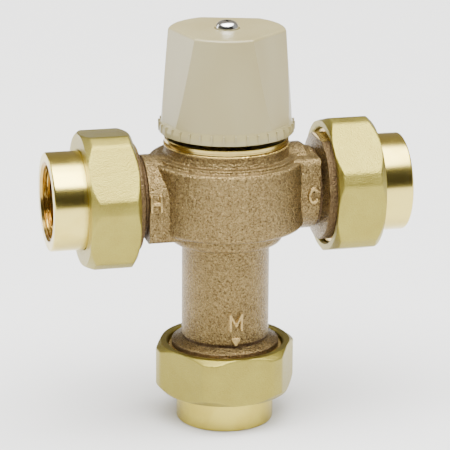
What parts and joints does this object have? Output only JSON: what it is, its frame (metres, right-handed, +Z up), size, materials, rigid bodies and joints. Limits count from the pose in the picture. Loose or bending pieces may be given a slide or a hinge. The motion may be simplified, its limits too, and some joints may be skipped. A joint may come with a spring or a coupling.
{
  "type": "thermostatic mixing valve",
  "caption": "Three-way bronze mixing valve with a faceted plastic temperature knob on top and union nuts with threaded tailpieces on both inlets and the outlet.",
  "frame": {"origin": "centre of the outlet tailpiece's end face, on which the valve stands", "axes": "+Z up the outlet stem to the knob, +X out of the cold inlet, -X out of the hot inlet, -Y the lettered front"},
  "size_m": [0.1274, 0.055, 0.1449],
  "materials": {
    "cast_bronze": "sand cast",
    "turned_brass": "machined",
    "forged_brass": "forged and blasted",
    "knob_plastic": "fine moulded grain",
    "plated_screw": "bright plated",
    "stainless_steel": "drawn",
    "black_rubber": "moulded",
    "gasket_fibre": "pressed",
    "black_acetal": "moulded",
    "white_acetal": "moulded",
    "element_copper": "drawn copper"
  },
  "bodies": {
    "valve": {"valve_body": "cast_bronze", "bonnet": "turned_brass", "bonnet_o_ring": "black_rubber", "spring_seat": "black_acetal", "return_spring": "stainless_steel", "outlet_gasket": "gasket_fibre", "hot_gasket": "gasket_fibre", "hot_filter_screen": "stainless_steel", "hot_check_housing": "white_acetal", "hot_check_o_ring": "black_rubber", "hot_check_spring": "stainless_steel", "cold_gasket": "gasket_fibre", "cold_filter_screen": "stainless_steel", "cold_check_housing": "white_acetal", "cold_check_o_ring": "black_rubber", "cold_check_spring": "stainless_steel"},
    "adjuster": {"adjusting_spindle": "turned_brass", "spindle_o_ring_lower": "black_rubber", "spindle_o_ring_upper": "black_rubber", "spindle_circlip": "stainless_steel", "temperature_knob": "knob_plastic", "knob_screw": "plated_screw"},
    "carrier": {"adjusting_carrier": "turned_brass", "spring_cup": "stainless_steel", "carrier_snap_ring": "stainless_steel", "overload_spring": "stainless_steel", "element_pin": "stainless_steel"},
    "shuttle": {"shuttle": "black_acetal", "shuttle_o_ring": "black_rubber", "wax_element": "element_copper"},
    "hot_check": {"hot_check_poppet": "black_acetal", "hot_check_seal": "black_rubber"},
    "cold_check": {"cold_check_poppet": "black_acetal", "cold_check_seal": "black_rubber"},
    "hot_tail": {"hot_tailpiece": "turned_brass"},
    "hot_nut": {"hot_union_nut": "forged_brass"},
    "cold_tail": {"cold_tailpiece": "turned_brass"},
    "cold_nut": {"cold_union_nut": "forged_brass"},
    "outlet_tail": {"outlet_tailpiece": "turned_brass"},
    "outlet_nut": {"outlet_union_nut": "forged_brass"}
  },
  "joints": [
    {"name": "knob_turn", "type": "hinge", "parent": "valve", "child": "adjuster", "pos_m": [0, 0, 0.12], "axis": [0, 0, 1], "range_deg": [-270, 270]},
    {"name": "carrier_lift", "type": "slide", "parent": "valve", "child": "carrier", "axis": [0, 0, 1], "range_m": [-0.00076, 0.00076]},
    {"name": "shuttle_response", "type": "slide", "parent": "carrier", "child": "shuttle", "axis": [0, 0, 1], "range_m": [-0.00075, 0.00075], "stiffness_N_per_m": 1500, "deforming": ["return_spring", "overload_spring"]},
    {"name": "hot_check_open", "type": "slide", "parent": "valve", "child": "hot_check", "axis": [1, 0, 0], "range_m": [0, 0.0028], "stiffness_N_per_m": 300, "springref_m": -0.003, "deforming": ["hot_check_spring"]},
    {"name": "cold_check_open", "type": "slide", "parent": "valve", "child": "cold_check", "axis": [-1, 0, 0], "range_m": [0, 0.0028], "stiffness_N_per_m": 300, "springref_m": -0.003, "deforming": ["cold_check_spring"]},
    {"name": "hot_union_draw", "type": "slide", "parent": "valve", "child": "hot_tail", "axis": [-1, 0, 0], "range_m": [0, 0.0087]},
    {"name": "hot_nut_turn", "type": "hinge", "parent": "hot_tail", "child": "hot_nut", "pos_m": [-0.045, 0, 0.0839], "axis": [-1, 0, 0], "range_deg": [0, 1350]},
    {"name": "cold_union_draw", "type": "slide", "parent": "valve", "child": "cold_tail", "axis": [1, 0, 0], "range_m": [0, 0.0087]},
    {"name": "cold_nut_turn", "type": "hinge", "parent": "cold_tail", "child": "cold_nut", "pos_m": [0.045, 0, 0.0839], "axis": [1, 0, 0], "range_deg": [0, 1350]},
    {"name": "outlet_union_draw", "type": "slide", "parent": "valve", "child": "outlet_tail", "axis": [0, 0, -1], "range_m": [0, 0.0087]},
    {"name": "outlet_nut_turn", "type": "hinge", "parent": "outlet_tail", "child": "outlet_nut", "pos_m": [0, 0, 0.02], "axis": [0, 0, -1], "range_deg": [0, 1350]}
  ],
  "couplings": [
    {"joint": "carrier_lift", "follows": "knob_turn", "m_per_rad": 0.00015915},
    {"joint": "hot_union_draw", "follows": "hot_nut_turn", "m_per_rad": 0.00036749},
    {"joint": "cold_union_draw", "follows": "cold_nut_turn", "m_per_rad": 0.00036749},
    {"joint": "outlet_union_draw", "follows": "outlet_nut_turn", "m_per_rad": 0.00036749}
  ]
}
